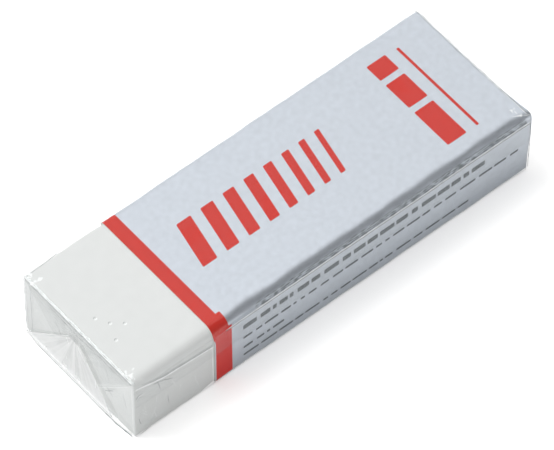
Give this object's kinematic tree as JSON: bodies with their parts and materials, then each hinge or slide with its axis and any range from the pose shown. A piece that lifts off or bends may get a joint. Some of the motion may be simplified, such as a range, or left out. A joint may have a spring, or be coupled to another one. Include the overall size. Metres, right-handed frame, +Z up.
{
  "type": "vinyl eraser",
  "caption": "White vinyl eraser block in a silver card sleeve with a red band at its open edge, sealed in clear film folded shut at both ends.",
  "frame": {"origin": "middle of the underside of the wrapped block", "axes": "+X along the length from the bare vinyl end to the covered end, +Y across to the side away from the film's lap, +Z up"},
  "size_m": [0.065, 0.0223, 0.012],
  "materials": {
    "vinyl": "smooth matt soft vinyl, cut square at the ends",
    "card": "satin silver print on coated card, with a red band at the open edge",
    "film": "thin clear glossy film"
  },
  "bodies": {
    "root": {"eraser_block": "vinyl", "card_sleeve": "card", "film_wrap": "film"}
  },
  "joints": []
}
